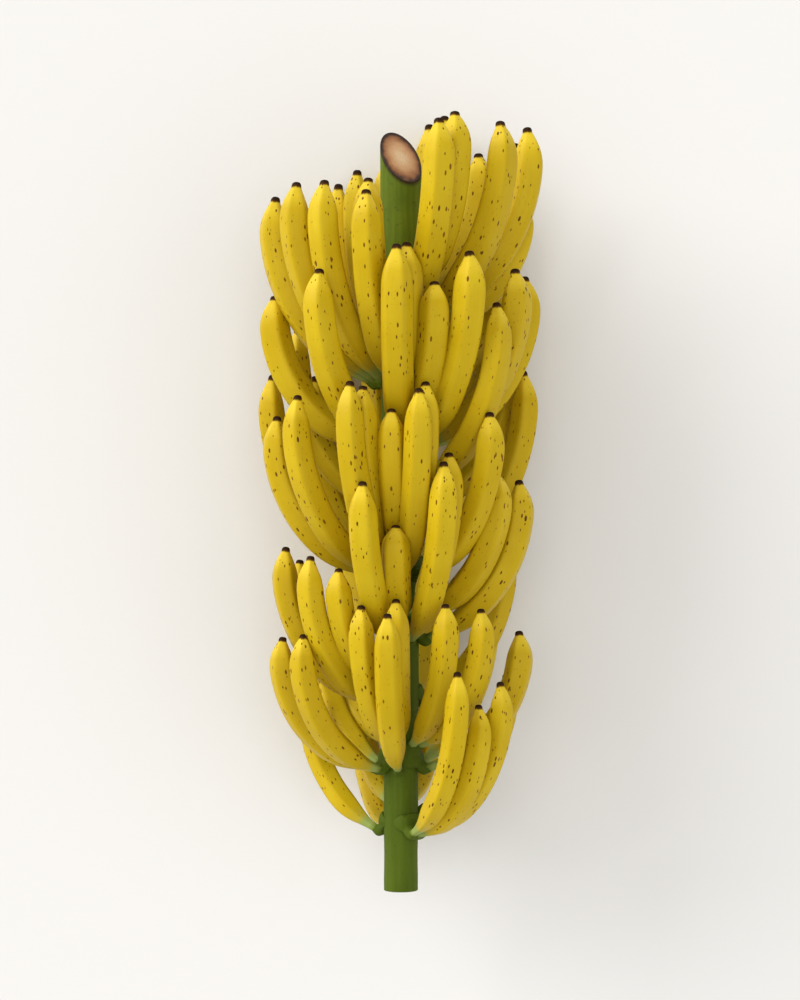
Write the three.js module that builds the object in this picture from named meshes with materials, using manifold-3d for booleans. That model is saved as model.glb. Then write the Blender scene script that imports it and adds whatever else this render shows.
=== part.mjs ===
import * as THREE from 'three';
import { mergeVertices } from 'three/addons/utils/BufferGeometryUtils.js';
import Module from 'manifold-3d';

// A whole cut bunch of bananas lying on its back. Lengths are in mm, +Z is up, the stalk lies along +Y and
// the surface that the bunch lies on is Z = 0. A level is a distance along the stalk from its lower end.

// Stalk
const stalkLength = 733;
const stalkLowerRadius = 17;
const stalkUpperRadius = 21;
const stalkSides = 16;
const axisHeight = 125;
const cutFallRight = 0.53;
const cutFallUp = 1.1;
const cutAllowance = 80;

// Crowns, the green cushions round the stalk that the fingers grow from
const lowestCrown = 69;
const crownStep = 64;
const crownThickness = 8;
const crownHalfHeight = 17;
const crownShoulder = 10;
const crownLip = 2.7;
const fit = 0.3;

// Fingers. Places and girths are shares of a finger's length and of its full girth, tipLean is in degrees
const fingerSides = 7;
const rootDepth = 3.5;
const rootSpread = 12;
const tipLean = 97;
const neckLength = 0.3;
const neckGirth = 0.36;
const taperStart = 0.82;
const taperPower = 2.2;
const capGirth = 0.35;
const ringPlaces = [0, 0.07, 0.16, 0.3, 0.5, 0.7, 0.84, 0.91, 0.95, 0.973, 1];

// Blocks that cut the stalk and stand for the surface
const knifeSize = 300;
const surfaceSize = 2000;
const mergeDistance = 1e-4;

// The hands, from the thick end of the stalk down, each with its lower and its upper row of fingers. A finger
// is [turn, tip, reach]: its turn about the stalk in degrees, 0 facing up and 90 to the right, the level of
// its tip, and how far its tip stands from the stalk's middle.
const hands = [
  {
    girth: 31,
    lower: [[17, 755, 125], [49, 757, 128], [75, 758, 130], [88, 690, 119], [108, 752, 122], [141, 705, 128],
      [165, 782, 116]],
    upper: [[29, 765, 108], [131, 746, 106], [154, 788, 104]]
  },
  {
    girth: 30,
    lower: [[-150, 720, 131], [-77, 690, 128], [-57, 700, 122], [-39, 699, 118], [-16, 687, 122],
      [120, 635, 112]],
    upper: [[-171, 741, 106], [-154, 732, 104], [-125, 700, 104], [-19, 701, 98]]
  },
  {
    girth: 31,
    lower: [[-84, 593, 127], [-36, 612, 134], [-2, 634, 128], [31, 629, 128], [61, 616, 128], [97, 615, 126],
      [129, 597, 126]],
    upper: [[3, 638, 102], [17, 600, 111], [165, 600, 110]]
  },
  {
    girth: 28,
    lower: [[-166, 570, 117.5], [-148, 560, 128], [-115, 565, 116], [116, 550, 122]],
    upper: [[46, 581, 129]]
  },
  {
    girth: 28,
    lower: [[-134, 518, 124], [-97, 516, 131], [-76, 473, 127], [-53, 492, 126], [-23, 504, 126],
      [8, 497, 124], [43, 475, 126], [102, 521, 127], [150, 500, 132.5]],
    upper: [[-20, 500, 108], [-5, 478, 104], [13, 504, 106]]
  },
  {
    girth: 28,
    lower: [[-150, 430, 132.5], [-17, 408, 126], [19, 427, 126], [74, 410, 122]],
    upper: [[-3, 366, 98], [26, 436, 106], [57, 417, 112]]
  },
  {
    girth: 26,
    lower: [[-72, 344, 120], [-46, 336, 122], [112, 345, 112], [165, 330, 119]],
    upper: [[-100, 330, 104], [-34, 324, 108]]
  },
  {
    girth: 26,
    lower: [[-133, 258, 106], [-74, 255, 122], [-50, 260, 124], [-6, 282, 124], [74, 261, 122],
      [133, 298, 120], [178, 250, 115]],
    upper: [[-145, 280, 115], [-21, 289, 108], [-3, 295, 98], [24, 290, 106], [42, 285, 116]]
  },
  {
    girth: 24,
    lower: [[-160, 190, 124], [-113, 198, 99], [25, 226, 128], [38, 193, 122], [50, 214, 126]],
    upper: [[-157, 217, 108], [100, 215, 108], [163, 216, 118]]
  }
];

const wasm = await Module();
wasm.setup();

const peel = new THREE.MeshStandardMaterial({ color: 0xe2ba2e, roughness: 0.55, metalness: 0 });
const stalkSkin = new THREE.MeshStandardMaterial({ color: 0x5a7026, roughness: 0.65, metalness: 0 });

const bunch = new THREE.Group();

function stalkRadius(level) {
  return THREE.MathUtils.lerp(stalkLowerRadius, stalkUpperRadius, level / stalkLength);
}

// A closed geometry as a solid that can be joined and cut
function solidOf(geometry) {
  const bare = geometry.clone();
  bare.deleteAttribute('normal');
  bare.deleteAttribute('uv');
  const merged = mergeVertices(bare, mergeDistance);
  const corners = [...merged.index.array];
  const kept = [];
  for (let i = 0; i < corners.length; i += 3) {
    const [a, b, c] = corners.slice(i, i + 3);
    if (a !== b && b !== c && c !== a) {
      kept.push(a, b, c);
    }
  }
  return new wasm.Manifold(new wasm.Mesh({
    numProp: 3,
    vertProperties: new Float32Array(merged.attributes.position.array),
    triVerts: new Uint32Array(kept)
  }));
}

function addMesh(name, solid, material) {
  const cut = solid.getMesh();
  const geometry = new THREE.BufferGeometry();
  geometry.setAttribute('position', new THREE.BufferAttribute(new Float32Array(cut.vertProperties), 3));
  geometry.setIndex(new THREE.BufferAttribute(new Uint32Array(cut.triVerts), 1));
  geometry.computeVertexNormals();
  const mesh = new THREE.Mesh(geometry, material);
  mesh.name = name;
  bunch.add(mesh);
}

// The stalk, cut square at its lower end and on the slant at its thick end
function stalk() {
  const overlong = stalkLength + cutAllowance;
  const shaft = new THREE.CylinderGeometry(stalkRadius(overlong), stalkLowerRadius, overlong, stalkSides);
  shaft.translate(0, overlong / 2, axisHeight);
  const knife = new THREE.BoxGeometry(knifeSize, knifeSize, knifeSize);
  knife.translate(0, knifeSize / 2, 0);
  const normal = new THREE.Vector3(cutFallRight, 1, cutFallUp).normalize();
  knife.applyQuaternion(new THREE.Quaternion().setFromUnitVectors(new THREE.Vector3(0, 1, 0), normal));
  knife.translate(0, stalkLength, axisHeight);
  return solidOf(shaft).subtract(solidOf(knife));
}

// The cushion of one hand, a ring with rounded shoulders and a close fit round the stalk
function crown(level) {
  const inner = stalkRadius(level + crownHalfHeight) + fit;
  const outer = stalkRadius(level) + crownThickness;
  const lip = inner + crownLip;
  const profile = [
    new THREE.Vector2(inner, -crownHalfHeight),
    new THREE.Vector2(lip, -crownHalfHeight),
    new THREE.Vector2(outer, -crownShoulder),
    new THREE.Vector2(outer, crownShoulder),
    new THREE.Vector2(lip, crownHalfHeight),
    new THREE.Vector2(inner, crownHalfHeight),
    new THREE.Vector2(inner, -crownHalfHeight)
  ];
  const ring = new THREE.LatheGeometry(profile, stalkSides);
  ring.translate(0, level, axisHeight);
  return solidOf(ring);
}

// Share of the full girth at a share of the length: a thin neck, a long even body and a rounded taper to
// the narrow blunt cap that was the flower's end
function girthAt(place) {
  const swell = THREE.MathUtils.smoothstep(place, 0, neckLength);
  const taper = Math.max(0, (place - taperStart) / (1 - taperStart)) ** taperPower;
  return (neckGirth + (1 - neckGirth) * swell) * Math.max(capGirth, 1 - taper);
}

// One finger: a turned shape whose long axis is bent into an arc that rises from the crown and ends
// along the stalk
function finger(crownLevel, side, girth, [turn, tip, reach]) {
  const rootLevel = crownLevel + side * rootSpread;
  const rootReach = stalkRadius(crownLevel) + crownThickness - rootDepth;
  const rise = tip - rootLevel;
  const run = reach - rootReach;
  const endAngle = THREE.MathUtils.degToRad(tipLean);
  const startAngle = 2 * Math.atan2(rise, run) - endAngle;
  const bend = endAngle - startAngle;
  const curve = Math.hypot(rise, run) / 2 / Math.sin(bend / 2);
  const profile = ringPlaces.map((place) => new THREE.Vector2(girth / 2 * girthAt(place), place));
  profile.unshift(new THREE.Vector2(0, 0));
  profile.push(new THREE.Vector2(0, 1));
  const geometry = new THREE.LatheGeometry(profile, fingerSides);
  const position = geometry.attributes.position;
  for (let i = 0; i < position.count; i++) {
    const angle = startAngle + bend * position.getY(i);
    const outward = position.getZ(i);
    position.setXYZ(
      i,
      position.getX(i),
      rootLevel + curve * (Math.cos(startAngle) - Math.cos(angle)) - outward * Math.cos(angle),
      rootReach + curve * (Math.sin(angle) - Math.sin(startAngle)) + outward * Math.sin(angle)
    );
  }
  geometry.rotateY(THREE.MathUtils.degToRad(turn));
  geometry.translate(0, 0, axisHeight);
  return solidOf(geometry);
}

// What would sink below the surface is pressed flat on it
function surface() {
  const slab = new THREE.BoxGeometry(surfaceSize, surfaceSize, surfaceSize);
  slab.translate(0, 0, -surfaceSize / 2);
  return solidOf(slab);
}

function hand(row, number) {
  const level = lowestCrown + crownStep * (hands.length - number);
  let solid = crown(level);
  for (const [side, fingers] of [[-1, row.lower], [1, row.upper]]) {
    for (const place of fingers) {
      solid = solid.add(finger(level, side, row.girth, place));
    }
  }
  return solid.subtract(surface());
}

addMesh('stalk', stalk(), stalkSkin);
hands.forEach((row, i) => addMesh(`hand_${i + 1}`, hand(row, i + 1), peel));

// The origin is in the middle of the bunch, on the surface
const middle = new THREE.Box3().setFromObject(bunch).getCenter(new THREE.Vector3());
bunch.position.set(-middle.x, -middle.y, 0);

export default bunch;
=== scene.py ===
import math
import random

import bpy
import numpy as np
from mathutils import Matrix, Vector


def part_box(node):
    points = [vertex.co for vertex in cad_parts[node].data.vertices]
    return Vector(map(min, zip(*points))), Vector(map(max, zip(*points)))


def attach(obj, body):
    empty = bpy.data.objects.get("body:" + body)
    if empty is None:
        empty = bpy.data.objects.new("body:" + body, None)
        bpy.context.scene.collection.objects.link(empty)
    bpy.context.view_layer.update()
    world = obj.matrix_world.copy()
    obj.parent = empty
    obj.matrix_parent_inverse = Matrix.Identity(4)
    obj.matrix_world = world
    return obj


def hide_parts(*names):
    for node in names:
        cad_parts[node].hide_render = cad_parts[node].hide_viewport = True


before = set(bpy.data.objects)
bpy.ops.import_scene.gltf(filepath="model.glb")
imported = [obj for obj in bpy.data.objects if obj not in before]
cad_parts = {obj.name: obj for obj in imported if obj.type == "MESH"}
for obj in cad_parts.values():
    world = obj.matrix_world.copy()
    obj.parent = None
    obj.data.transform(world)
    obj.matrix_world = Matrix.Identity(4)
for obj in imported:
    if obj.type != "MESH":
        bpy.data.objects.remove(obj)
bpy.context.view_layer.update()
mm = 0.001

# Where the bunch lies: the stalk runs along +Y at a steady height over the floor, and a level is a distance
# along it from its lower end
bunch = {
    "stalkLength": 733 * mm,
    "lowerRadius": 17 * mm,
    "upperRadius": 21 * mm,
    "axisHeight": 125 * mm,
    "cutNormal": (0.57, 1, 1.19),  # the way the slanting cut faces
    "lowestCrown": 69 * mm,
    "crownStep": 64 * mm,
    "crownThickness": 8 * mm,
}
stalkLow, stalkHigh = (Vector(corner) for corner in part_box("stalk"))
axisX = (stalkLow.x + stalkHigh.x) / 2
levelZero = stalkLow.y
cutMiddle = Vector((axisX, levelZero + bunch["stalkLength"], bunch["axisHeight"]))
cutNormal = Vector(bunch["cutNormal"]).normalized()


def stalkRadius(level):
    share = level / bunch["stalkLength"]
    return bunch["lowerRadius"] + (bunch["upperRadius"] - bunch["lowerRadius"]) * share


# Rises from 0 to 1 between two values, and is level at both
def smoothStep(value, low, high):
    t = min(max((value - low) / (high - low), 0), 1)
    return t * t * (3 - 2 * t)


# Small helpers round the operators

def deselectAll():
    if bpy.context.object and bpy.context.object.mode != "OBJECT":
        bpy.ops.object.mode_set(mode="OBJECT")
    bpy.ops.object.select_all(action="DESELECT")


def takeUp(piece, name=None):
    deselectAll()
    piece.select_set(True)
    bpy.context.view_layer.objects.active = piece
    if name:
        piece.name = name
        piece.data.name = name
    return piece


def applyPlace(piece):
    takeUp(piece)
    bpy.ops.object.transform_apply(location=True, rotation=True, scale=True)


def applyModifier(piece, kind, **settings):
    takeUp(piece)
    bpy.ops.object.modifier_add(type=kind)
    modifier = piece.modifiers[-1]
    for key, value in settings.items():
        setattr(modifier, key, value)
    bpy.ops.object.modifier_apply(modifier=modifier.name)


def copyOf(piece, name):
    twin = piece.copy()
    twin.data = piece.data.copy()
    bpy.context.collection.objects.link(twin)
    twin.name = name
    twin.data.name = name
    return twin


def joinAll(parts, name):
    takeUp(parts[0])
    for part in parts:
        part.select_set(True)
    bpy.ops.object.join()
    return takeUp(parts[0], name)


def smooth(piece, angle=None):
    takeUp(piece)
    if angle:
        bpy.ops.object.shade_smooth_by_angle(angle=math.radians(angle))
    else:
        bpy.ops.object.shade_smooth()


# Materials

def linearColour(hexCode):
    parts = [int(hexCode[i:i + 2], 16) / 255 for i in (1, 3, 5)]
    return tuple(c / 12.92 if c <= 0.04045 else ((c + 0.055) / 1.055) ** 2.4 for c in parts) + (1,)


# An input takes a value, a hex colour or the output of another node
def feed(tree, socket, value):
    if isinstance(value, bpy.types.NodeSocket):
        tree.links.new(value, socket)
    else:
        socket.default_value = linearColour(value) if isinstance(value, str) else value


def addNode(tree, kind, settings=None):
    node = tree.nodes.new("ShaderNode" + kind)
    for key, value in (settings or {}).items():
        if isinstance(key, int) or key in node.inputs:
            feed(tree, node.inputs[key], value)
        else:
            setattr(node, key, value)
    return node


def newMaterial(name):
    material = bpy.data.materials.new(name)
    material.use_nodes = True
    material.node_tree.nodes.clear()
    return material, material.node_tree


# A stop is a place with a hex colour or a grey
def ramp(tree, source, stops):
    node = addNode(tree, "ValToRGB", {"Fac": source})
    elements = node.color_ramp.elements
    while len(elements) < len(stops):
        elements.new(0.5)
    for element, (place, colour) in zip(elements, stops):
        element.position = place
        element.color = linearColour(colour) if isinstance(colour, str) else (colour, colour, colour, 1)
    return node.outputs["Color"]


def calculate(tree, operation, *values):
    return addNode(tree, "Math", {"operation": operation, **dict(enumerate(values))}).outputs[0]


def mixColour(tree, share, first, second):
    return addNode(tree, "Mix", {"data_type": "RGBA", 0: share, 6: first, 7: second}).outputs[2]


# Lays a colour over what is there, as far as the share times the strength
def tint(tree, base, colour, share, strength):
    return mixColour(tree, calculate(tree, "MULTIPLY", share, strength), base, colour)


def noise(tree, vector, size, detail, roughness=0.5):
    return addNode(tree, "TexNoise", {
        "Vector": vector, "Scale": 1 / size, "Detail": detail, "Roughness": roughness,
    }).outputs["Fac"]


def cells(tree, vector, size):
    return addNode(tree, "TexVoronoi", {"Vector": vector, "Scale": 1 / size, "Randomness": 1})


def stretched(tree, vector, scale, location=(0, 0, 0)):
    return addNode(tree, "Mapping", {
        "Vector": vector, "Location": location, "Scale": scale,
    }).outputs["Vector"]


def finishMaterial(tree, settings, height=None, depth=None):
    shader = addNode(tree, "BsdfPrincipled", settings)
    if height is not None:
        bump = addNode(tree, "Bump", {"Height": height, "Distance": depth, "Strength": 1})
        feed(tree, shader.inputs["Normal"], bump.outputs["Normal"])
    addNode(tree, "OutputMaterial", {"Surface": shader.outputs["BSDF"]})


# Fresh banana stem: fleshy green skin, matt, with darker and paler streaks along the grain and a few scuffs
stemLook = {
    "green": "#5C6B12",
    "darkGreen": "#43540D",
    "paleGreen": "#6E801C",
    "scuff": "#3A3413",
    "sap": "#2B190A",
    "stalkShade": 0.15,  # how far the whole skin goes towards the dark green
    "crownShade": 0.25,
    "thinEndDarkening": 0.7,  # and how far the thin end does
    "streakWidth": 5 * mm,
    "streakStretch": 0.05,
    "streakStops": [(0.35, 0), (0.68, 1)],
    "patchSize": 60 * mm,
    "patchStops": [(0.35, 1), (0.65, 0)],
    "patchStrength": 0.6,
    "scuffSize": 7 * mm,
    "scuffGrit": 0.65,
    "scuffStops": [(0.62, 0), (0.7, 1)],
    "scuffStrength": 0.5,
    "sapReach": 6 * mm,
    "sapWander": 2 * mm,
    "sapStops": [(0.25, 1), (0.75, 0)],
    "ior": 1.4,
    "roughness": 0.6,
    "specular": 0.15,
    "scuffRise": 0.4,
    "bumpDepth": 0.6 * mm,
}


def freshStemSkin(name, shade):
    look = stemLook
    material, tree = newMaterial(name)
    spot = addNode(tree, "TexCoord").outputs["Object"]
    streaks = noise(tree, stretched(tree, spot, (1, look["streakStretch"], 1)), look["streakWidth"], 4)
    patches = noise(tree, spot, look["patchSize"], 3)
    scuffs = noise(tree, spot, look["scuffSize"], 5, look["scuffGrit"])
    skin = mixColour(tree, ramp(tree, streaks, look["streakStops"]), look["green"], look["paleGreen"])
    skin = tint(tree, skin, look["darkGreen"], ramp(tree, patches, look["patchStops"]), look["patchStrength"])
    skin = mixColour(tree, shade, skin, look["darkGreen"])

    # The skin is a little darker towards the thin end
    along = addNode(tree, "SeparateXYZ", {"Vector": spot}).outputs["Y"]
    fromTop = calculate(tree, "SUBTRACT", levelZero + bunch["stalkLength"], along)
    fromTop = calculate(tree, "DIVIDE", fromTop, bunch["stalkLength"])
    skin = tint(tree, skin, look["darkGreen"], fromTop, look["thinEndDarkening"])
    skin = tint(tree, skin, look["scuff"], ramp(tree, scuffs, look["scuffStops"]), look["scuffStrength"])

    # Dried sap stains the skin for a few mm below the slanting cut
    fromCut = addNode(tree, "VectorMath", {"operation": "DOT_PRODUCT", 0: spot, 1: cutNormal})
    below = calculate(tree, "SUBTRACT", cutNormal.dot(cutMiddle), fromCut.outputs["Value"])
    below = calculate(tree, "MULTIPLY_ADD", scuffs, look["sapWander"], below)
    below = calculate(tree, "DIVIDE", below, look["sapReach"])
    skin = mixColour(tree, ramp(tree, below, look["sapStops"]), skin, look["sap"])

    height = calculate(tree, "MULTIPLY_ADD", scuffs, look["scuffRise"], streaks)
    finishMaterial(tree, {
        "Base Color": skin,
        "Roughness": look["roughness"],
        "IOR": look["ior"],
        "Specular IOR Level": look["specular"],
    }, height, look["bumpDepth"])
    return material


# Ripe banana peel: a waxy skin over soft ridges. The wax gives a broad soft shine, the ripeness a warm yellow
# that stays green at the neck, and age the small brown freckles that run along the finger. The tip is painted
# paler, a painted highlight where light falls on it.
peelLook = {
    "yellow": "#C3A40D",
    "deepYellow": "#B4950A",
    "paleYellow": "#CDB01A",
    # a paler yellow painted on the tip as a highlight where light falls on it
    "tipHighlightYellow": "#D6B92C",
    "neckGreen": "#A6B463",
    "neckShade": "#7F9040",
    "freckle": "#7C5300",
    "darkFreckle": "#5A3400",
    "freckleRim": "#A08200",
    "cap": "#241403",
    "capEdge": "#4E2F08",
    "patchSize": 45 * mm,
    "patchStops": [(0.35, 0), (0.65, 1)],
    "toneStrength": 0.5,  # how far the deepest finger goes towards the deep yellow
    "fibreWidth": 3 * mm,
    "fibreStretch": 0.06,
    "fibreStops": [(0.4, 0), (0.7, 1)],
    "fibreStrength": 0.18,
    "ridgeStrength": 0.3,
    "tipHighlightStops": [(0.885, 0), (0.94, 1)],  # at places from the root, 0, to the end of the cap, 1
    "tipHighlightStrength": 0.85,
    "rootStops": [(0.03, 0), (0.075, 1)],
    "neckStops": [(0.145, 0), (0.18, 0.75), (0.26, 1)],
    "neckWander": 0.08,
    "freckleCell": 4.1 * mm,
    "freckleStretch": 0.42,
    "freckleLeast": 0.155,  # sizes as shares of a cell
    "freckleRange": 0.15,
    "freckleRarity": 1.6,  # the higher, the fewer large ones
    "freckleEdge": 9,  # the higher, the sharper
    "freckleStops": [(0.45, 0), (0.8, 1)],
    "rimStops": [(0.05, 0), (0.6, 1)],
    "rimStrength": 0.55,
    "freckledStops": [(0.14, 0), (0.24, 1)],  # none on the neck
    "clusterSize": 16 * mm,
    "clusterStops": [(0.34, 0.4), (0.6, 1)],
    "speckCell": 2.3 * mm,
    "speckSize": 0.2,
    "speckEdge": 6,
    "speckStops": [(0.5, 0), (1, 1)],
    "speckChoice": [(0.7, 0), (0.78, 1)],
    "speckStrength": 0.5,
    "capStops": [(0.977, 0), (0.984, 1)],
    "dryStops": [(0.983, 0), (0.994, 1)],
    "capFray": 0.012,
    "ior": 1.4,
    "roughness": 0.46,
    "capRoughness": 0.35,  # on top of the peel's
    "specular": 0.18,
    "fibreRise": 0.6,
    "freckleRise": -0.5,
    "bumpDepth": 0.25 * mm,
}


def ripeBananaPeel():
    look = peelLook
    material, tree = newMaterial("ripeBananaPeel")
    straight = addNode(tree, "Attribute", {"attribute_name": "straight"}).outputs["Vector"]
    place, ridge, tone = (addNode(tree, "Attribute", {"attribute_name": name}).outputs["Fac"]
                          for name in ("place", "ridge", "tone"))
    patches = noise(tree, straight, look["patchSize"], 3)
    fibres = noise(tree, stretched(tree, straight, (1, 1, look["fibreStretch"])), look["fibreWidth"], 2)
    fibrous = ramp(tree, fibres, look["fibreStops"])
    body = mixColour(tree, ramp(tree, patches, look["patchStops"]), look["yellow"], look["paleYellow"])
    body = tint(tree, body, look["deepYellow"], tone, look["toneStrength"])
    body = tint(tree, body, look["deepYellow"], fibrous, look["fibreStrength"])
    body = tint(tree, body, look["deepYellow"], ridge, look["ridgeStrength"])
    # Painted highlight: the tip is painted a paler yellow where light falls on it
    body = tint(tree, body, look["tipHighlightYellow"], ramp(tree, place, look["tipHighlightStops"]), look["tipHighlightStrength"])

    # The neck is green and the last of the green fades into the yellow over a few centimetres
    wander = calculate(tree, "MULTIPLY_ADD", patches, look["neckWander"], place)
    neck = mixColour(tree, patches, look["neckShade"], look["neckGreen"])
    neck = mixColour(tree, ramp(tree, place, look["rootStops"]), stemLook["green"], neck)
    skin = mixColour(tree, ramp(tree, wander, look["neckStops"]), neck, body)

    # Freckles: one to a cell at most, drawn out along the finger, and bunched where the peel is oldest
    drawnOut = stretched(tree, straight, (1, 1, look["freckleStretch"]))
    cell = cells(tree, drawnOut, look["freckleCell"])
    chance = addNode(tree, "SeparateColor", {"Color": cell.outputs["Color"]})
    size = calculate(tree, "POWER", chance.outputs["Red"], look["freckleRarity"])
    size = calculate(tree, "MULTIPLY_ADD", size, look["freckleRange"], look["freckleLeast"])
    clusters = noise(tree, straight, look["clusterSize"], 1)
    size = calculate(tree, "MULTIPLY", size, ramp(tree, clusters, look["clusterStops"]))
    inside = calculate(tree, "SUBTRACT", size, cell.outputs["Distance"])
    inside = calculate(tree, "MULTIPLY_ADD", inside, look["freckleEdge"], 0.5)
    freckled = ramp(tree, inside, look["freckleStops"])
    onBody = ramp(tree, place, look["freckledStops"])
    rim = calculate(tree, "MULTIPLY", ramp(tree, inside, look["rimStops"]), onBody)
    skin = tint(tree, skin, look["freckleRim"], rim, look["rimStrength"])
    brown = mixColour(tree, chance.outputs["Green"], look["freckle"], look["darkFreckle"])
    skin = mixColour(tree, calculate(tree, "MULTIPLY", freckled, onBody), skin, brown)

    # Specks: small faint freckles that are only starting, in about every fourth cell
    small = cells(tree, drawnOut, look["speckCell"])
    chosen = addNode(tree, "SeparateColor", {"Color": small.outputs["Color"]}).outputs["Blue"]
    speck = calculate(tree, "SUBTRACT", look["speckSize"], small.outputs["Distance"])
    speck = ramp(tree, calculate(tree, "MULTIPLY_ADD", speck, look["speckEdge"], 0.5), look["speckStops"])
    speck = calculate(tree, "MULTIPLY", speck, ramp(tree, chosen, look["speckChoice"]))
    speck = calculate(tree, "MULTIPLY", speck, onBody)
    skin = tint(tree, skin, look["freckle"], speck, look["speckStrength"])

    # The dry cap where the flower fell off
    edge = calculate(tree, "MULTIPLY_ADD", fibres, look["capFray"], place)
    cap = ramp(tree, edge, look["capStops"])
    capColour = mixColour(tree, ramp(tree, edge, look["dryStops"]), look["capEdge"], look["cap"])
    skin = mixColour(tree, cap, skin, capColour)

    dents = calculate(tree, "MULTIPLY", freckled, look["freckleRise"])
    height = calculate(tree, "MULTIPLY_ADD", fibres, look["fibreRise"], dents)
    finishMaterial(tree, {
        "Base Color": skin,
        "Roughness": calculate(tree, "MULTIPLY_ADD", cap, look["capRoughness"], look["roughness"]),
        "IOR": look["ior"],
        "Specular IOR Level": look["specular"],
    }, height, look["bumpDepth"])
    return material


# Cut banana stem: wet pith gone tan in the air, browner towards the skin, with a dark dried rim of sap. Its
# rings of colour go from the middle out.
cutLook = {
    "ringStops": [(0.15, "#CAAB84"), (0.5, "#B98C60"), (0.78, "#8A5932"), (0.9, "#2E190B")],
    "stainSize": 9 * mm,
    "stainSpread": 0.3,
    "strand": "#8A5932",
    "strandSpacing": 1.6 * mm,
    "strandStops": [(0.12, 1), (0.3, 0)],
    "strandStrength": 0.35,
    "ior": 1.4,
    "roughness": 0.6,
    "bumpDepth": 0.4 * mm,
}


def driedCutPith():
    look = cutLook
    material, tree = newMaterial("driedCutPith")
    spot = addNode(tree, "TexCoord").outputs["Object"]
    width = 1 / stalkRadius(bunch["stalkLength"])
    centred = stretched(tree, spot, (width, 0, width), (-axisX * width, 0, -bunch["axisHeight"] * width))
    across = addNode(tree, "VectorMath", {"operation": "LENGTH", 0: centred}).outputs["Value"]
    stains = calculate(tree, "SUBTRACT", noise(tree, spot, look["stainSize"], 4), 0.5)
    strands = cells(tree, spot, look["strandSpacing"]).outputs["Distance"]
    stained = calculate(tree, "MULTIPLY_ADD", stains, look["stainSpread"], across)
    skin = ramp(tree, stained, look["ringStops"])
    skin = tint(tree, skin, look["strand"], ramp(tree, strands, look["strandStops"]), look["strandStrength"])
    finishMaterial(tree, {
        "Base Color": skin,
        "Roughness": look["roughness"],
        "IOR": look["ior"],
    }, strands, look["bumpDepth"])
    return material


peel = ripeBananaPeel()
stemSkin = freshStemSkin("freshStemSkin", stemLook["stalkShade"])
crownSkin = freshStemSkin("freshCrownSkin", stemLook["crownShade"])
cutPith = driedCutPith()
print("materials made")

# Stalk: a round stem with a slow swell at each crown, cut square below and on the slant above
stalk = {
    "sides": 64,
    "rings": 60,
    "cutAllowance": 45 * mm,  # what stands above the cut before it is made
    "swell": 0.5 * mm,
    "lastSwell": 8.5,  # in crown steps from the lowest crown
    "rimBevel": 0.8 * mm,
    "rimWidth": 1.2 * mm,
    "pithSink": 0.6 * mm,
    "pithRings": 3,  # over which the pith rises again
    "pithRingWidth": 3 * mm,
    "smoothAngle": 40,
}


def makeStalk():
    deselectAll()
    wide = stalkRadius(0)
    bpy.ops.mesh.primitive_circle_add(vertices=stalk["sides"], radius=wide, fill_type="NGON",
                                      location=(0, 0, 0))
    piece = takeUp(bpy.context.object, "bananaStalk")
    bpy.ops.object.mode_set(mode="EDIT")
    bpy.ops.mesh.select_all(action="SELECT")
    step = (bunch["stalkLength"] + stalk["cutAllowance"]) / stalk["rings"]
    for ring in range(1, stalk["rings"] + 1):
        level = ring * step
        fromCrown = (level - bunch["lowestCrown"]) / bunch["crownStep"]
        wave = math.cos(fromCrown * 2 * math.pi) if fromCrown < stalk["lastSwell"] else 0
        target = stalkRadius(level) + (wave - 1) * stalk["swell"] / 2
        bpy.ops.mesh.extrude_region_move(TRANSFORM_OT_translate={"value": (0, 0, step)})
        bpy.ops.transform.resize(value=(target / wide, target / wide, 1))
        wide = target
    bpy.ops.mesh.select_all(action="SELECT")
    bpy.ops.mesh.normals_make_consistent(inside=False)
    bpy.ops.object.mode_set(mode="OBJECT")
    piece.rotation_euler = (-math.pi / 2, 0, 0)
    piece.location = (axisX, levelZero, bunch["axisHeight"])
    applyPlace(piece)

    # The slanting cut, then both cut faces with a bevelled rim and sunk pith
    bpy.ops.object.mode_set(mode="EDIT")
    bpy.ops.mesh.select_all(action="SELECT")
    bpy.ops.mesh.bisect(plane_co=cutMiddle, plane_no=cutNormal, use_fill=True, clear_outer=True)
    bpy.ops.object.mode_set(mode="OBJECT")
    piece.data.materials.append(stemSkin)
    piece.data.materials.append(cutPith)
    for face in piece.data.polygons:
        face.select = abs(face.normal.dot(cutNormal)) > 0.99 or abs(face.normal.y) > 0.99
        face.material_index = 1 if face.select else 0
    bpy.ops.object.mode_set(mode="EDIT")
    bpy.ops.mesh.select_mode(type="FACE")
    bpy.ops.mesh.bevel(offset=stalk["rimBevel"], segments=3, affect="EDGES")
    bpy.ops.object.mode_set(mode="OBJECT")
    for face in piece.data.polygons:
        face.select = len(face.vertices) > 8  # only a cut face has so many
    bpy.ops.object.mode_set(mode="EDIT")
    bpy.ops.mesh.inset(thickness=stalk["rimWidth"], depth=-stalk["pithSink"])
    for _ in range(stalk["pithRings"]):
        bpy.ops.mesh.inset(thickness=stalk["pithRingWidth"], depth=stalk["pithSink"] / stalk["pithRings"])
    bpy.ops.object.mode_set(mode="OBJECT")
    smooth(piece, stalk["smoothAngle"])
    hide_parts("stalk")
    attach(piece, "root")


makeStalk()
print("stalk modelled")

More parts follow.
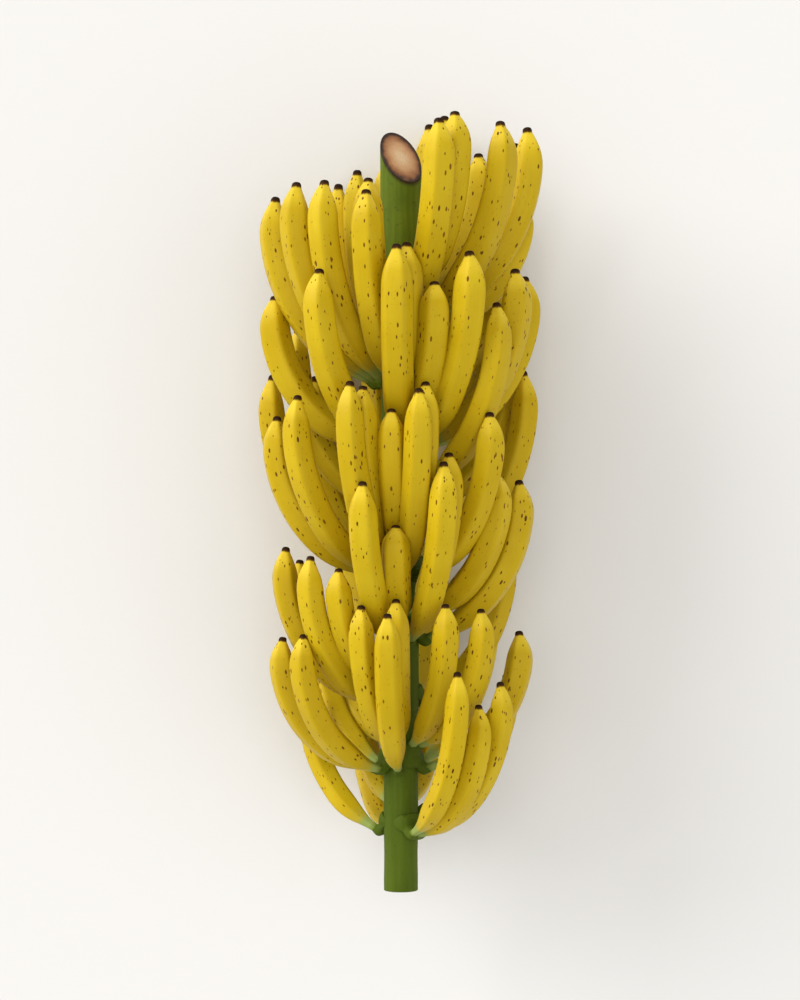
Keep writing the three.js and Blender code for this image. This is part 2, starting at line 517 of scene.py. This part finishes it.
# Fingers: one straight master, one unit long and one unit of radius, that every finger is copied from. Places
# and girths are shares of a finger's length and of its full girth.
finger = {
    "sides": 10,  # five ridges with five flats between them
    "ridge": 1.12,  # cage radii, set so that the smoothed skin lies at the girth
    "flat": 0.935,
    "ridgeCrease": 0.34,
    "creasedUpTo": 0.974,
    "rings": [0, 0.025, 0.06, 0.1, 0.14, 0.2, 0.28, 0.4, 0.54, 0.68, 0.8, 0.85, 0.885, 0.92, 0.95, 0.972,
              0.977, 0.988, 0.997, 1],
    "neckStart": 0.045,
    "neckEnd": 0.3,
    "neckGirth": 0.34,
    "taperStart": 0.82,
    "taperPower": 2.2,
    "capGirth": 0.35,
    "capGirths": [0.93, 0.92, 0.7, 0.3],  # the dry cap domes over the end of the yellow tip
    "capInset": 0.45,
    "smoothing": 2,
    "tipLean": 97,  # degrees
    "rootDepth": 3.5 * mm,
    "rootSpread": 12 * mm,
    "roll": 9,  # how far a ridge may stand off its place, in degrees
    "waves": [(9, 0, 1), (4, 2, 1), (17, 1, 0.6)],  # along, around and strength
    "wobble": 0.014,
    "wobbleMiddle": 0.6,
    "patternShift": 5,
    "ridgeSharpness": 6,
    "seed": 2,
}


def girthAt(place):
    swell = smoothStep(place, finger["neckStart"], finger["neckEnd"])
    taper = max(0, (place - finger["taperStart"]) / (1 - finger["taperStart"])) ** finger["taperPower"]
    return (finger["neckGirth"] + (1 - finger["neckGirth"]) * swell) * max(finger["capGirth"], 1 - taper)


def makeMasterFinger():
    deselectAll()
    bpy.ops.mesh.primitive_circle_add(vertices=finger["sides"], radius=1, fill_type="NGON",
                                      location=(0, 0, 0))
    piece = takeUp(bpy.context.object, "masterFinger")
    for index, vertex in enumerate(piece.data.vertices):
        angle = math.pi / 2 + index * 2 * math.pi / finger["sides"]
        radius = finger["ridge"] if index % 2 == 0 else finger["flat"]
        vertex.co = (radius * math.cos(angle), radius * math.sin(angle), 0)
    bpy.ops.object.mode_set(mode="EDIT")
    bpy.ops.mesh.select_all(action="SELECT")
    rings = finger["rings"]
    girths = [girthAt(place) for place in rings]
    capFrom = len(rings) - len(finger["capGirths"])
    girths[capFrom:] = [share * girths[capFrom - 1] for share in finger["capGirths"]]
    bpy.ops.transform.resize(value=(girths[0], girths[0], 1))
    for last, place, before, girth in zip(rings, rings[1:], girths, girths[1:]):
        bpy.ops.mesh.extrude_region_move(TRANSFORM_OT_translate={"value": (0, 0, place - last)})
        bpy.ops.transform.resize(value=(girth / before, girth / before, 1))
    bpy.ops.mesh.inset(thickness=girths[-1] * finger["capInset"])
    bpy.ops.mesh.select_all(action="SELECT")
    bpy.ops.mesh.normals_make_consistent(inside=False)
    bpy.ops.mesh.select_all(action="DESELECT")
    bpy.ops.mesh.select_mode(type="EDGE")
    bpy.ops.object.mode_set(mode="OBJECT")

    # The long edges of the ridges are creased, as far as the cap. The cage drifts a little off its axis, so
    # some are passed over, and the order of an edge's two ends, which Blender doesn't fix, decides on a few
    for edge in piece.data.edges:
        low, high = (piece.data.vertices[index].co for index in edge.vertices)
        turn = (math.atan2(low.y, low.x) - math.pi / 2) / (4 * math.pi / finger["sides"])
        onRidge = abs(turn - round(turn)) < 0.05
        along = abs(low.z - high.z) > 1e-4
        edge.select = along and onRidge and max(low.z, high.z) < finger["creasedUpTo"]
    bpy.ops.object.mode_set(mode="EDIT")
    bpy.ops.transform.edge_crease(value=finger["ridgeCrease"])
    bpy.ops.object.mode_set(mode="OBJECT")
    applyModifier(piece, "SUBSURF", levels=finger["smoothing"], render_levels=finger["smoothing"])
    smooth(piece)
    return piece


def storeAttribute(mesh, name, kind, values):
    layer = mesh.attributes.new(name, kind, "POINT")
    layer.data.foreach_set("vector" if kind == "FLOAT_VECTOR" else "value", np.ravel(values))


# The arc that a finger follows: where it starts, the angle it starts at, how far it bends and how long it is
def fingerArc(crownLevel, side, spot):
    _, tip, reach = spot
    rootLevel = crownLevel + side * finger["rootSpread"]
    rootReach = stalkRadius(crownLevel) + bunch["crownThickness"] - finger["rootDepth"]
    rise = tip * mm - rootLevel
    run = reach * mm - rootReach
    endAngle = math.radians(finger["tipLean"])
    startAngle = 2 * math.atan2(rise, run) - endAngle
    bend = endAngle - startAngle
    length = math.hypot(rise, run) * (bend / 2) / math.sin(bend / 2)
    return rootLevel, rootReach, startAngle, bend, length


# A finger is the master at its own length and girth, a little uneven, bent into its arc and set on its crown
def makeFinger(master, crownLevel, side, girth, spot, draw):
    rootLevel, rootReach, startAngle, bend, length = fingerArc(crownLevel, side, spot)
    roll = math.radians(draw.uniform(-1, 1) * finger["roll"])
    piece = copyOf(master, "oneFinger")
    piece.rotation_euler = (0, 0, roll)
    piece.scale = (girth * mm / 2, girth * mm / 2, length)
    applyPlace(piece)
    mesh = piece.data
    points = np.empty(len(mesh.vertices) * 3)
    mesh.vertices.foreach_get("co", points)
    points = points.reshape(-1, 3)
    place = points[:, 2] / length
    around = np.arctan2(points[:, 1], points[:, 0])
    phases = [draw.uniform(0, 2 * math.pi) for _ in finger["waves"]]
    wobble = sum(strength * np.sin(place * along + around * turns + phase)
                 for (along, turns, strength), phase in zip(finger["waves"], phases))
    points[:, :2] *= (1 + (wobble - finger["wobbleMiddle"]) * finger["wobble"])[:, None]
    mesh.vertices.foreach_set("co", points.ravel())

    # What the peel reads: the straight finger at a spot of its own in the pattern, the place along it, its
    # tone, and how near a ridge is
    shift = np.array([draw.uniform(-finger["patternShift"], finger["patternShift"]) for _ in range(3)])
    ridges = np.cos((around - math.pi / 2 - roll) * finger["sides"] / 2)
    storeAttribute(mesh, "straight", "FLOAT_VECTOR", points + shift)
    storeAttribute(mesh, "place", "FLOAT", place)
    storeAttribute(mesh, "tone", "FLOAT", np.full(len(place), draw.random()))
    storeAttribute(mesh, "ridge", "FLOAT", np.clip(ridges, 0, 1) ** finger["ridgeSharpness"])

    applyModifier(piece, "SIMPLE_DEFORM", deform_method="BEND", deform_axis="X", angle=bend)
    piece.data.transform(
        Matrix.Translation((axisX, levelZero, bunch["axisHeight"]))
        @ Matrix.Rotation(math.radians(spot[0]), 4, "Y")
        @ Matrix.Translation((0, rootLevel, rootReach))
        @ Matrix.Rotation(-startAngle, 4, "X")
    )
    piece.data.materials.append(peel)
    return piece


# Crown: a swollen ring with a bulge and two collars under every neck, worked into one skin
crown = {
    "overStalk": 1.6 * mm,
    "thickness": 4 * mm,
    "stretch": 2.4,
    "fullWithin": 12,  # degrees from a finger within which the ring keeps its thickness
    "goneBy": 66,
    "sink": 1.2 * mm,
    "endHeight": 0.35,  # share of its height that the ring keeps where no finger is near
    "bulge": 6.6 * mm,
    "bulgeOut": 3.6 * mm,
    "bulgeAlong": 0.75,  # share of the way to the fingers' roots
    "collars": [(0.012, 1.35), (0.032, 1.15)],  # place on the finger, share of the neck's girth
    "voxel": 1.3 * mm,
    "lumps": 1.6 * mm,
    "lumpSize": 14 * mm,
    "lumpMiddle": 0.6,
    "smoothing": 5,
    "smoothFactor": 0.6,
}


# The ring round the stalk, which sinks into it where no finger is near
def makeCrownRing(level, turns):
    deselectAll()
    radius = stalkRadius(level)
    bpy.ops.mesh.primitive_torus_add(major_radius=radius + crown["overStalk"],
                                     minor_radius=crown["thickness"], major_segments=48, minor_segments=16)
    ring = takeUp(bpy.context.object)
    ring.scale = (1, 1, crown["stretch"])
    ring.rotation_euler = (-math.pi / 2, 0, 0)
    ring.location = (axisX, levelZero + level, bunch["axisHeight"])
    applyPlace(ring)
    middle = levelZero + level
    for vertex in ring.data.vertices:
        right, up = vertex.co.x - axisX, vertex.co.z - bunch["axisHeight"]
        out = math.hypot(right, up)
        turn = math.degrees(math.atan2(right, up))
        nearest = min(abs((turn - other + 180) % 360 - 180) for other in turns)
        bare = smoothStep(nearest, crown["fullWithin"], crown["goneBy"])
        away = out + (min(out, radius - crown["sink"]) - out) * bare
        vertex.co.x = axisX + right * away / out
        vertex.co.z = bunch["axisHeight"] + up * away / out
        vertex.co.y = middle + (vertex.co.y - middle) * (1 - (1 - crown["endHeight"]) * bare)
    return ring


# The balls under one finger, a bulge at its root and collars round its neck. A ball is its level, its
# distance from the stalk's middle and its radius.
def crownBalls(level, side, girth, spot):
    rootLevel, rootReach, startAngle, bend, length = fingerArc(level, side, spot)
    curve = length / bend
    bulgeLevel = level + side * crown["bulgeAlong"] * finger["rootSpread"]
    balls = [(bulgeLevel, stalkRadius(level) + crown["bulgeOut"], crown["bulge"])]
    for place, share in crown["collars"]:
        angle = startAngle + bend * place
        balls.append((
            rootLevel + curve * (math.cos(startAngle) - math.cos(angle)),
            rootReach + curve * (math.sin(angle) - math.sin(startAngle)),
            share * finger["neckGirth"] * girth * mm / 2,
        ))
    return balls


def makeCrown(level, row):
    parts = [makeCrownRing(level, [spot[0] for spot in row["lower"] + row["upper"]])]
    for side, spots in ((-1, row["lower"]), (1, row["upper"])):
        for spot in spots:
            about = math.radians(spot[0])
            for ballLevel, out, radius in crownBalls(level, side, row["girth"], spot):
                deselectAll()
                bpy.ops.mesh.primitive_uv_sphere_add(segments=16, ring_count=10, radius=radius, location=(
                    axisX + out * math.sin(about),
                    levelZero + ballLevel,
                    bunch["axisHeight"] + out * math.cos(about),
                ))
                ball = takeUp(bpy.context.object)
                applyPlace(ball)
                parts.append(ball)
    piece = joinAll(parts, "oneCrown")
    applyModifier(piece, "REMESH", mode="VOXEL", voxel_size=crown["voxel"])
    clouds = bpy.data.textures.new("crownLumps", "CLOUDS")
    clouds.noise_scale = crown["lumpSize"]
    applyModifier(piece, "DISPLACE", texture=clouds, texture_coords="GLOBAL", strength=crown["lumps"],
                  mid_level=crown["lumpMiddle"])
    applyModifier(piece, "SMOOTH", factor=crown["smoothFactor"], iterations=crown["smoothing"])
    smooth(piece)
    piece.data.materials.append(crownSkin)
    return piece


# The hands from the thick end down, each with its lower and its upper row of fingers. A finger is its turn
# about the stalk in degrees, 0 facing up and 90 to the right, the level of its tip and how far its tip stands
# from the stalk's middle, both in mm like the girth.
hands = [
    {
        "girth": 31,
        "lower": [(17, 755, 125), (49, 757, 128), (75, 758, 130), (88, 690, 119), (108, 752, 122),
                  (141, 705, 128), (165, 782, 116)],
        "upper": [(29, 765, 108), (131, 746, 106), (154, 788, 104)],
    },
    {
        "girth": 30,
        "lower": [(-150, 720, 131), (-77, 690, 128), (-57, 700, 122), (-39, 699, 118), (-16, 687, 122),
                  (120, 635, 112)],
        "upper": [(-171, 741, 106), (-154, 732, 104), (-125, 700, 104), (-19, 701, 98)],
    },
    {
        "girth": 31,
        "lower": [(-84, 593, 127), (-36, 612, 134), (-2, 634, 128), (31, 629, 128), (61, 616, 128),
                  (97, 615, 126), (129, 597, 126)],
        "upper": [(3, 638, 102), (17, 600, 111), (165, 600, 110)],
    },
    {
        "girth": 28,
        "lower": [(-166, 570, 117.5), (-148, 560, 128), (-115, 565, 116), (116, 550, 122)],
        "upper": [(46, 581, 129)],
    },
    {
        "girth": 28,
        "lower": [(-134, 518, 124), (-97, 516, 131), (-76, 473, 127), (-53, 492, 126), (-23, 504, 126),
                  (8, 497, 124), (43, 475, 126), (102, 521, 127), (150, 500, 132.5)],
        "upper": [(-20, 500, 108), (-5, 478, 104), (13, 504, 106)],
    },
    {
        "girth": 28,
        "lower": [(-150, 430, 132.5), (-17, 408, 126), (19, 427, 126), (74, 410, 122)],
        "upper": [(-3, 366, 98), (26, 436, 106), (57, 417, 112)],
    },
    {
        "girth": 26,
        "lower": [(-72, 344, 120), (-46, 336, 122), (112, 345, 112), (165, 330, 119)],
        "upper": [(-100, 330, 104), (-34, 324, 108)],
    },
    {
        "girth": 26,
        "lower": [(-133, 258, 106), (-74, 255, 122), (-50, 260, 124), (-6, 282, 124), (74, 261, 122),
                  (133, 298, 120), (178, 250, 115)],
        "upper": [(-145, 280, 115), (-21, 289, 108), (-3, 295, 98), (24, 290, 106), (42, 285, 116)],
    },
    {
        "girth": 24,
        "lower": [(-160, 190, 124), (-113, 198, 99), (25, 226, 128), (38, 193, 122), (50, 214, 126)],
        "upper": [(-157, 217, 108), (100, 215, 108), (163, 216, 118)],
    },
]


def makeHand(master, number, row, draw):
    level = bunch["lowestCrown"] + bunch["crownStep"] * (len(hands) - number)
    parts = [makeCrown(level, row)]
    for side, spots in ((-1, row["lower"]), (1, row["upper"])):
        for spot in spots:
            parts.append(makeFinger(master, level, side, row["girth"], spot, draw))
    piece = joinAll(parts, f"bananaHand{number}")
    for vertex in piece.data.vertices:
        vertex.co.z = max(vertex.co.z, 0)  # pressed flat where it lies on the floor
    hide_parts(f"hand_{number}")
    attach(piece, "root")
    return piece


master = makeMasterFinger()
draw = random.Random(finger["seed"])
for number, row in enumerate(hands, 1):
    hand = makeHand(master, number, row, draw)
    print(f"hand {number} modelled with {len(hand.data.polygons)} faces")
bpy.data.objects.remove(master, do_unlink=True)

# Floor, lights and camera. A light is where it comes from, its strength and its softness in degrees.
studio = {
    "floorSize": 40,
    "floorColour": "#E4E2DF",
    "floorMottle": "#E8E6E0",
    "mottleSize": 25 * mm,
    "mottleStrength": 0.04,
    "floorRoughness": 0.9,
    "lights": {
        "keyLight": ((-0.75, 0.55, 0.27), 3.0, 52),
        "fillLight": ((0.8, -0.2, 0.57), 0.35, 60),
        "topLight": ((0, 0.05, 1), 0.62, 40),
    },
    "lightDistance": 3,
    "skyColour": "#FDFDFC",
    "skyStrength": 0.72,
    "cameraDistance": 2.6,
    "cameraX": 0.8 * mm,
    "cameraY": -4.3 * mm,
    "viewHeight": 1.0,
    "sensor": 36,
}


def makeFloor():
    deselectAll()
    bpy.ops.mesh.primitive_plane_add(size=studio["floorSize"], location=(0, 0, 0))
    floor = takeUp(bpy.context.object, "studioFloor")
    material, tree = newMaterial("paleStudioFloor")
    spot = addNode(tree, "TexCoord").outputs["Object"]
    mottle = noise(tree, spot, studio["mottleSize"], 2)
    colour = tint(tree, studio["floorColour"], studio["floorMottle"], mottle, studio["mottleStrength"])
    finishMaterial(tree, {"Base Color": colour, "Roughness": studio["floorRoughness"]})
    floor.data.materials.append(material)


def addLight(name, comesFrom, strength, softness):
    light = bpy.data.lights.new(name, "SUN")
    light.angle = math.radians(softness)
    light.energy = strength
    lamp = bpy.data.objects.new(name, light)
    bpy.context.collection.objects.link(lamp)
    lamp.location = Vector(comesFrom) * studio["lightDistance"]
    lamp.rotation_euler = (-Vector(comesFrom)).to_track_quat("-Z", "Y").to_euler()


def makeCamera():
    camera = bpy.data.cameras.new("studioCamera")
    camera.sensor_width = studio["sensor"]
    camera.lens = studio["sensor"] * studio["cameraDistance"] / studio["viewHeight"]
    eye = bpy.data.objects.new("studioCamera", camera)
    bpy.context.collection.objects.link(eye)
    eye.location = (studio["cameraX"], studio["cameraY"], bunch["axisHeight"] + studio["cameraDistance"])
    bpy.context.scene.camera = eye


def makeSky():
    world = bpy.data.worlds.new("studioSky")
    world.use_nodes = True
    background = world.node_tree.nodes["Background"]
    background.inputs["Color"].default_value = linearColour(studio["skyColour"])
    background.inputs["Strength"].default_value = studio["skyStrength"]
    bpy.context.scene.world = world
    bpy.context.scene.view_settings.view_transform = "Standard"


makeFloor()
for name, (comesFrom, strength, softness) in studio["lights"].items():
    addLight(name, comesFrom, strength, softness)
makeCamera()
makeSky()
print("studio set")
